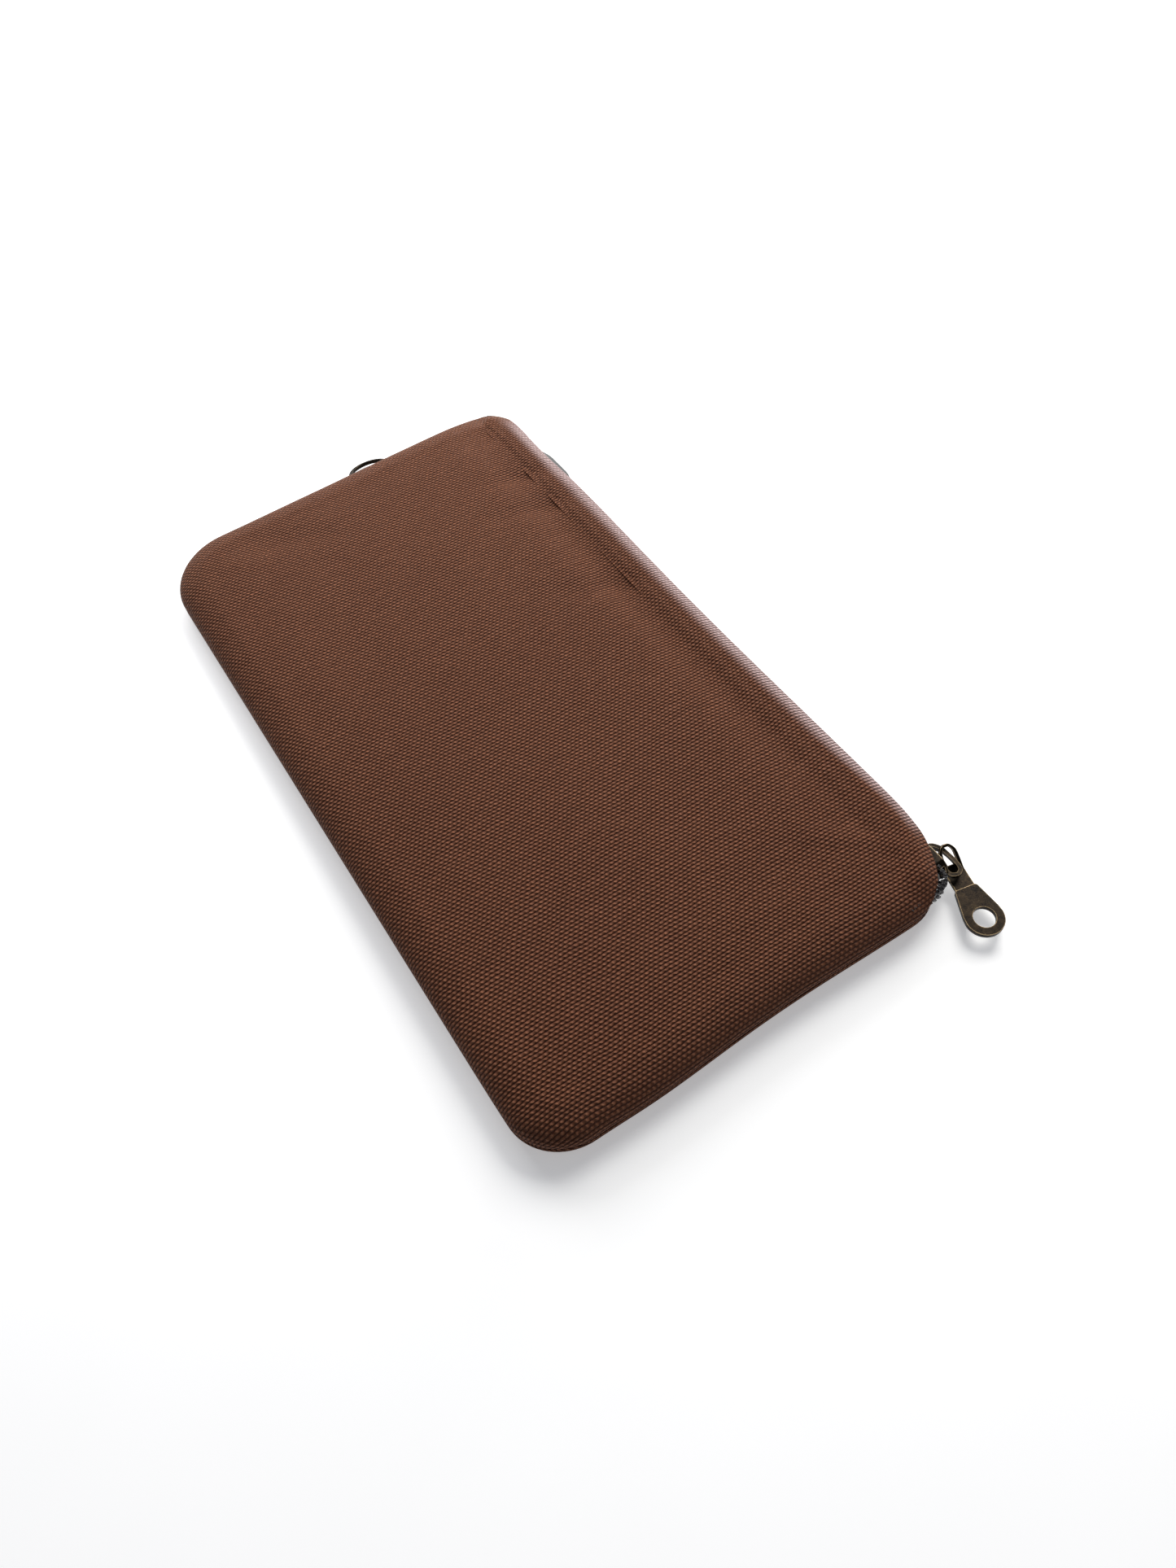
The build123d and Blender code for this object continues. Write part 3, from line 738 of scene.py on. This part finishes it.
def chain_line(step):
    """Points, directions and outward normals along the zipper, from its near end to its far end."""
    near, far = radians(90) * CHAIN_NEAR_R, radians(90) * CHAIN_FAR_R
    first = CHAIN_X - CHAIN_NEAR_R - CHAIN_END_X
    straight = CHAIN_FAR_Y - CHAIN_FAR_R - CHAIN_NEAR_Y - CHAIN_NEAR_R
    last = CHAIN_X - CHAIN_FAR_R - CHAIN_END_X
    total = first + near + straight + far + last
    rows = []
    for s in np.linspace(0, total, int(total / step) + 1):
        if s < first:
            rows.append((CHAIN_END_X + s, CHAIN_NEAR_Y, 0.0))
        elif s < first + near:
            a = (s - first) / CHAIN_NEAR_R
            rows.append((CHAIN_X - CHAIN_NEAR_R * (1 - sin(a)), CHAIN_NEAR_Y + CHAIN_NEAR_R * (1 - cos(a)), a))
        elif s < first + near + straight:
            rows.append((CHAIN_X, CHAIN_NEAR_Y + CHAIN_NEAR_R + s - first - near, pi / 2))
        elif s < first + near + straight + far:
            a = (s - first - near - straight) / CHAIN_FAR_R
            x = CHAIN_X - CHAIN_FAR_R * (1 - cos(a))
            rows.append((x, CHAIN_FAR_Y - CHAIN_FAR_R * (1 - sin(a)), pi / 2 + a))
        else:
            rows.append((CHAIN_END_X + total - s, CHAIN_FAR_Y, pi))
    rows = np.array(rows)
    out = np.column_stack([np.sin(rows[:, 2]), -np.cos(rows[:, 2])])
    place = rows[:, :2] + out * (BOW * bowed(rows[:, 1], BOW_Y, BOW_REACH))[:, None]
    for drawn in (FAR_CORNER, CHAIN_TUCK):
        place += sharing(place, drawn)[:, None] * np.array(drawn[3])
    return place, out, np.linspace(0, total, len(rows))


def parting(y):
    """How far each coil has left the middle, from the slider's post to the near end."""
    return 0.75 * eased((MESH_START_Y - y) / 3.0)


def tape_pieces(front, sign):
    """A strip that stands behind the coil and turns in under the hem."""
    place, out, run = chain_line(1.0)
    straight = eased((place[:, 1] - NEAR_Y - 8) / 9) * eased((FAR_Y - 11 - place[:, 1]) / 9)
    width = 1.0 + 6.2 * straight
    section = [(0.0, 0.15), (0.0, 1.2), (0.0, 2.1), (-0.12, 2.65), (-0.55, 2.98), (-1.2, 3.06)]
    rows = []
    slack = SLACK * bowed(place[:, 1], SLACK_Y, SLACK_REACH)
    low = 1 - (0.24 if front else 0.0) * sharing(place, FAR_CORNER)
    for p, n, w, y, loose, squat in zip(place, out, width, place[:, 1], slack, low):
        lift = parting(y)
        loose = loose if front else 0.0
        ring = []
        for o, z in section:
            shoulder = loose * np.exp(-((z - 2.6) / 0.42) ** 2)
            ring.append((TAPE_BACK + o + shoulder, z + lift * (1 - z / 3.1) - 0.12 * shoulder))
        ring += [(TAPE_BACK - 1.2 - (w - 1.0) * t, 3.06) for t in (0.34, 0.67, 1.0)]
        rows.append([(*(p + n * o), CHAIN_Z + sign * z * squat) for o, z in ring])
    rows = np.array(rows)
    count, wide = rows.shape[:2]
    across = np.concatenate([[0], np.cumsum(np.linalg.norm(np.diff(rows[count // 2], axis=0), axis=1))])
    uv = np.array([(a, r) for r in run for a in across])
    points = rows.reshape(-1, 3)
    for part, start, end in stretches(place, out, front):
        made = []
        for r in range(start, end):
            for k in range(wide - 1):
                a = r * wide + k
                face = [a, a + wide, a + wide + 1, a + 1]
                made.append(face if front else face[::-1])
        name = side(front) + "_zip_tape_" + part
        normals = point_normals(points, made)
        piece = shell(name, points, made, uv, normals, 0.32)
        dress(piece, TAPE, "tape", side(front) + "_tape")
        attach(piece, front, part)


def stretches(place, out, front):
    """Where the chain is cut into pieces: (name, first point, last point)."""
    along = place[:, 1] + 1e3 * (out[:, 0] < -0.5)
    middle, ending = int(np.searchsorted(along, 0.0)), int(np.searchsorted(along, TRAVEL_END_Y))
    last = len(place) - 1
    if front:
        return [("near", 0, middle), ("far", middle, last)]
    return [("near", 0, middle), ("far", middle, ending), ("end", ending, last)]


def attach(piece, front, part):
    """Front pieces have their placement baked into the mesh. Back ones ride on the back, and all but the end
    ones get a mesh of their own."""
    if front:
        swing(piece)
        return
    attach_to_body(piece, "back")
    if part != "end":
        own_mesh(piece)


def coil_pieces(front, sign):
    """One coil as a spiral of nylon wire, flattened against its tape."""
    turns_from = 0.0 if front else 0.5
    place, out, run = chain_line(PITCH / 12)
    angle = 2 * pi * (run / PITCH + turns_from)
    rise = 0.72 + 1.05 * np.sin(angle) + parting(place[:, 1])
    depth = 0.50 * np.cos(angle) + 0.05
    ahead = np.column_stack([-out[:, 1], out[:, 0]])
    flat = 0.16 * PITCH * np.sin(2 * angle)
    line = np.column_stack([place + out * depth[:, None] + ahead * flat[:, None], CHAIN_Z + sign * rise])
    for part, start, end in stretches(place, out, front):
        points, faces = tube(line[start:end + 1], 0.30, 6)
        name = side(front) + "_nylon_coil_" + part
        piece = dress(make_object(name, points, faces), COIL, "coil", side(front) + "_coil")
        attach(piece, front, part)


def coil_stitches(front, sign):
    """Pale thread that sews the coil down: slanting stitches over its back, caught in the tape behind."""
    place, out, run = chain_line(PITCH / 4)
    for part, start, end in stretches(place, out, front):
        parts = []
        for n in range(2, len(run) - 4, 4):
            if not start <= n < end:
                continue
            lift = parting(place[n, 1])
            path = [(0, -0.55, 2.35), (0.8, 0.3, 2.08), (1.6, 0.62, 1.72), (2.6, 0.62, 1.62), (3.4, 0.35, 2.06),
                    (4.0, -0.55, 2.3)]
            line = []
            for step, depth, z in path:
                i = min(n + int(step), len(run) - 2)
                t = step - int(step)
                p = place[i] * (1 - t) + place[i + 1] * t
                line.append((*(p + out[i] * depth), CHAIN_Z + sign * (z + lift)))
            parts.append(tube(smooth_line(line, 2), 0.095, 5))
        points, faces = joined(parts)
        name = side(front) + "_coil_stitches_" + part
        piece = dress(make_object(name, points, faces), GREY_THREAD, "thread", side(front) + "_coil_thread")
        attach(piece, front, part)


def hem_stitches(front, sign):
    """The row that holds a tape under its canvas hem."""
    node = side(front) + "_zip_thread"
    low, high = box_mm(node)
    x, level = (low[0] + high[0]) / 2, CHAIN_Z + sign * 2.9
    count = int((high[1] - low[1]) / SEWING)
    for near in (True, False):
        parts = []
        for n in range(count):
            y = low[1] + (n + 0.5) * SEWING
            if (y < 0) == near:
                line = [(x, y - 1.2, level + sign * 0.5), (x, y - 0.9, level), (x, y, level - sign * 0.12),
                        (x, y + 0.9, level), (x, y + 1.2, level + sign * 0.5)]
                parts.append(tube(smooth_line(line, 2), 0.17, 6))
        points, faces = joined(parts)
        name = side(front) + "_hem_stitches_" + half(near)
        piece = dress(make_object(name, points, faces), BROWN_THREAD, "thread", node)
        if front:
            swing(piece)
        else:
            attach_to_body(piece, "back")


def zipper():
    for front, sign in ((True, 1), (False, -1)):
        tape_pieces(front, sign)
        coil_pieces(front, sign)
        coil_stitches(front, sign)
        hem_stitches(front, sign)


# ---- slider, pull, ring ----
PULL_TURN = next(joint for joint in frame["joints"] if joint["name"] == "pull_turn")
PULL_YAW, PULL_SLOPE = 13.0, 32.0      # the pull's turn from -Y, and the slope of its head
PULL_LEVEL = 3.0                       # height of the tab's middle
TAB_THICK, HEAD_THICK = 1.25, 0.78
HOLE_OUT, HOLE_R, END_R, STEP_OUT = 15.9, 2.5, 4.4, 7.9


def rounded_plate(name, outer, hole, thickness, bevel):
    """The mesh of a flat plate from plan outlines, with rounded edges."""
    curve = bpy.data.curves.new(name, "CURVE")
    curve.dimensions = "2D"
    curve.fill_mode = "BOTH"
    curve.extrude = (thickness / 2 - bevel) * MM
    curve.bevel_depth = bevel * MM
    curve.bevel_resolution = 2
    curve.offset = -bevel * MM
    for loop in (outer, hole):
        spline = curve.splines.new("POLY")
        spline.points.add(len(loop) - 1)
        for point, (x, y) in zip(spline.points, loop):
            point.co = (x * MM, y * MM, 0, 1)
        spline.use_cyclic_u = True
    return baked(linked(name + "_drawn", curve))


def pull_tab():
    """The tab with its round hole, and the thinner head that slopes up through the bridge."""
    a = np.linspace(pi, 2 * pi, 33)
    widest = -HOLE_OUT + 1.5
    outer = [(END_R * cos(t), -HOLE_OUT + END_R * sin(t)) for t in a]
    outer += [(END_R - 0.15, widest), (2.75, -STEP_OUT - 0.4), (2.35, -STEP_OUT), (-2.35, -STEP_OUT),
              (-2.75, -STEP_OUT - 0.4), (-END_R + 0.15, widest)]
    hole = [(HOLE_R * cos(t), -HOLE_OUT + HOLE_R * sin(t)) for t in np.linspace(0, 2 * pi, 40, endpoint=False)]
    tab = rounded_plate("pull_plate", outer, hole, TAB_THICK, 0.07)
    tab.transform(Matrix.Translation((0, 0, (PULL_LEVEL - CHAIN_Z) * MM)))
    drop, rise = CHAIN_Z - PULL_LEVEL, sin(radians(PULL_SLOPE)) / cos(radians(PULL_SLOPE))
    # rows across the head: distance along it, half width, half width of its window
    rows = [(y, 2.35, 1.4) for y in (-STEP_OUT - 0.3, -5.5, -4.0, -3.4, -3.0)]
    rows += [(-2.4, 2.35, 1.3), (-1.9, 2.35, 1.1), (-1.5, 2.35, 1.45), (0.0, 2.25, 1.4), (0.7, 2.1, 1.3),
             (1.2, 1.8, 1.0), (1.6, 1.45, 0.6), (2.0, 1.0, 0.4), (2.2, 0.5, 0.2)]
    points = []
    for y, wide, gap in rows:
        slope = rise * (y + drop / rise)
        z = -drop + (slope + (slope * slope + 0.05) ** 0.5) / 2
        points += [(x, y, z) for x in (-wide, -gap, 0.0, gap, wide)]
    faces = []
    for j in range(len(rows) - 1):
        for i in range(4):
            window = -1.9 <= rows[j][0] < 1.6 and i in (1, 2)
            if not window:
                k = j * 5 + i
                faces.append([k, k + 1, k + 6, k + 5])
    head = make_object("pull_head", points, faces)
    solid = head.modifiers.new("thick", "SOLIDIFY")
    solid.thickness, solid.offset = HEAD_THICK * MM, 0
    bevel = head.modifiers.new("edges", "BEVEL")
    bevel.width, bevel.segments, bevel.limit_method = 0.06 * MM, 1, "ANGLE"
    hinge = (*PULL_TURN["pos_m"][:2], CHAIN_Z * MM)
    place = Matrix.Translation(hinge) @ Matrix.Rotation(radians(-PULL_YAW), 4, "Z")
    for name, mesh in (("pull_tab_plate", tab), ("pull_tab_head", baked(head))):
        mesh.transform(place)
        mesh.set_sharp_from_angle(angle=radians(35))
        piece = dress(linked(name, mesh), BRASS, "metal", "pull_tab")
        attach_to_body(piece, "pull")


def slider_arch():
    """The flat bar of the slider that the pull hangs on, bent out from the outer plate and back to it."""
    low, high = box_mm("slider_bridge")
    plate_x = low[0] - 0.3
    mid_x = high[0] - 0.4
    far_y, near_y = high[1] - 0.6, low[1]
    line = [(plate_x, far_y), (plate_x + 1.7, far_y - 0.25), (mid_x - 0.35, far_y - 2.0), (mid_x, far_y - 4.3),
            (mid_x - 0.05, near_y + 0.1), (mid_x - 0.5, near_y - 1.45), (mid_x - 1.7, near_y - 2.1),
            (plate_x + 0.35, near_y - 1.4), (plate_x, near_y - 0.1)]
    line = smooth_line(line, 5)
    ahead = np.gradient(line, axis=0)
    ahead /= np.linalg.norm(ahead, axis=1)[:, None]
    beside = np.column_stack([ahead[:, 1], -ahead[:, 0]])
    share = np.linspace(0, 1, len(line))
    tall = 0.85 - 0.35 * eased((share - 0.12) / 0.25)
    corners = [(0.43, -1), (0.43, 1), (-0.43, 1), (-0.43, -1)]
    points = []
    for p, n, tall_half in zip(line, beside, tall):
        points += [(*(p + n * across), CHAIN_Z + up * tall_half) for across, up in corners]
    faces = [[0, 1, 2, 3], [len(points) - 1 - k for k in range(4)]]
    for r in range(len(line) - 1):
        for k in range(4):
            a, b = r * 4 + k, r * 4 + (k + 1) % 4
            faces.append([b, a, a + 4, b + 4])
    piece = make_object("slider_arch", points, faces)
    piece.data.set_sharp_from_angle(angle=radians(40))
    dress(piece, DARK_BRASS, "metal", "slider_bridge")
    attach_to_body(piece, "slider")


def near_seam_stitches():
    """Upright stitches through the near seam, where it has drawn in."""
    low, high = box_mm("near_seam_thread")
    y = (low[1] + high[1]) / 2
    count = round((high[0] - low[0]) / SEWING)
    parts = []
    for x in low[0] + (np.arange(count) + 0.5) * (high[0] - low[0]) / count:
        line = np.array([(x, y, z) for z in np.linspace(low[2], high[2], 4)])
        parts.append(tube(drawn_in(line), 0.18, 6))
    points, faces = joined(parts)
    piece = make_object("near_seam_stitches", points, faces)
    dress(piece, BROWN_THREAD, "thread", "near_seam_thread")
    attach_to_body(piece, "back")


def ring_tab():
    """A folded strip of canvas: its loop holds the ring's bar and its root goes into the far seam."""
    low, high = box_mm("ring_tab")
    bar_y, bar_z = box_mm("d_ring")[0][1] + 0.6, 3.2
    outer = 1.26
    line = [(FAR_Y - 2.4, SEAM_Z + 0.6), (FAR_Y - 0.4, SEAM_Z + 0.6)]
    line += [(bar_y + outer * cos(t), bar_z + outer * sin(t)) for t in np.radians(np.linspace(100, -110, 14))]
    line += [(FAR_Y - 0.4, SEAM_Z - 0.6), (FAR_Y - 2.4, SEAM_Z - 0.6)]
    line = smooth_line(line, 2)
    xs = np.linspace(low[0], high[0], 13)
    run = np.concatenate([[0], np.cumsum(np.linalg.norm(np.diff(line, axis=0), axis=1))])
    points = np.array([(x, y, z) for y, z in line for x in xs])
    uv = np.array([(x, s) for s in run for x in xs])
    faces = []
    for j in range(len(line) - 1):
        for i in range(len(xs) - 1):
            k = j * len(xs) + i
            faces.append([k, k + 1, k + 1 + len(xs), k + len(xs)])
    piece = shell("ring_tab_strip", points, faces, uv, point_normals(points, faces), 0.5)
    dress(piece, CANVAS, "canvas", "ring_tab")
    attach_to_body(piece, "back")


def carried_over():
    """The CAD pieces that are shown as they are."""
    for node in ("slider_body", "d_ring"):
        dress(frame["nodes"][node], BRASS, "metal")
    for node in ("tab_thread", "bottom_seam_thread", "far_seam_thread"):
        dress(frame["nodes"][node], BROWN_THREAD, "thread")


# ---- floor, light and camera ----
def floor():
    mesh = bpy.data.meshes.new("floor")
    corners = [(-3, -3, 0), (3, -3, 0), (3, 3, 0), (-3, 3, 0)]
    mesh.from_pydata(corners, [], [(0, 1, 2, 3)])
    g = Graph("white_floor")
    colour = g.blend(g.noise(g.place(), 40.0), (0.90, 0.90, 0.90, 1), (0.92, 0.92, 0.92, 1))
    glow = {"Emission Color": (1, 1, 1, 1), "Emission Strength": 0.36}
    mesh.materials.append(g.finish(colour, constants=glow))
    linked("floor", mesh)


def area_light(name, place, target, size, power, colour=(1, 1, 1)):
    data = bpy.data.lights.new(name, "AREA")
    data.shape, data.size, data.size_y = "RECTANGLE", size[0], size[1]
    data.energy, data.color = power, colour
    made = linked(name, data)
    made.location = place
    made.rotation_euler = (Vector(target) - Vector(place)).to_track_quat("-Z", "Y").to_euler()


def lights():
    world = bpy.data.worlds.new("studio")
    bpy.context.scene.world = world
    world.use_nodes = True
    world.node_tree.nodes["Background"].inputs[0].default_value = (0.90, 0.96, 1.12, 1)
    world.node_tree.nodes["Background"].inputs[1].default_value = 0.13
    area_light("window", (0.55, 0.34, 0.17), (0, 0.0, 0), (0.4, 0.2), 1.6)
    area_light("softbox", (0.48, 0.26, 0.50), (0, 0, 0), (0.42, 0.42), 4.85, (1.0, 0.985, 0.95))
    area_light("back_light", (0.02, 0.40, 0.24), (0, 0.08, 0), (0.3, 0.2), 1.5)


def camera():
    """The camera of a hand-held phone: 26 mm equivalent, looking down across the pouch."""
    azimuth, elevation, roll = radians(27.37), radians(56.04), radians(-7.15)
    ahead = Vector((sin(azimuth) * cos(elevation), cos(azimuth) * cos(elevation), -sin(elevation)))
    level = ahead.cross(Vector((0, 0, 1))).normalized()
    above = level.cross(ahead)
    right = level * cos(roll) + above * sin(roll)
    up = above * cos(roll) - level * sin(roll)
    data = bpy.data.cameras.new("camera")
    data.lens, data.sensor_width, data.sensor_fit = 26.0, 36.0, "AUTO"
    data.clip_start, data.clip_end = 0.01, 20.0
    made = linked("camera", data)
    turn = Matrix((right, up, -ahead)).transposed()
    made.matrix_world = Matrix.Translation(Vector((-66.3, -165.8, 229.6)) * MM) @ turn.to_4x4()
    bpy.context.scene.camera = made
    bpy.context.scene.view_settings.view_transform = "Standard"


front_canvas()
back_canvas()
linings()
zipper()
pull_tab()
slider_arch()
near_seam_stitches()
ring_tab()
carried_over()
floor()
lights()
camera()
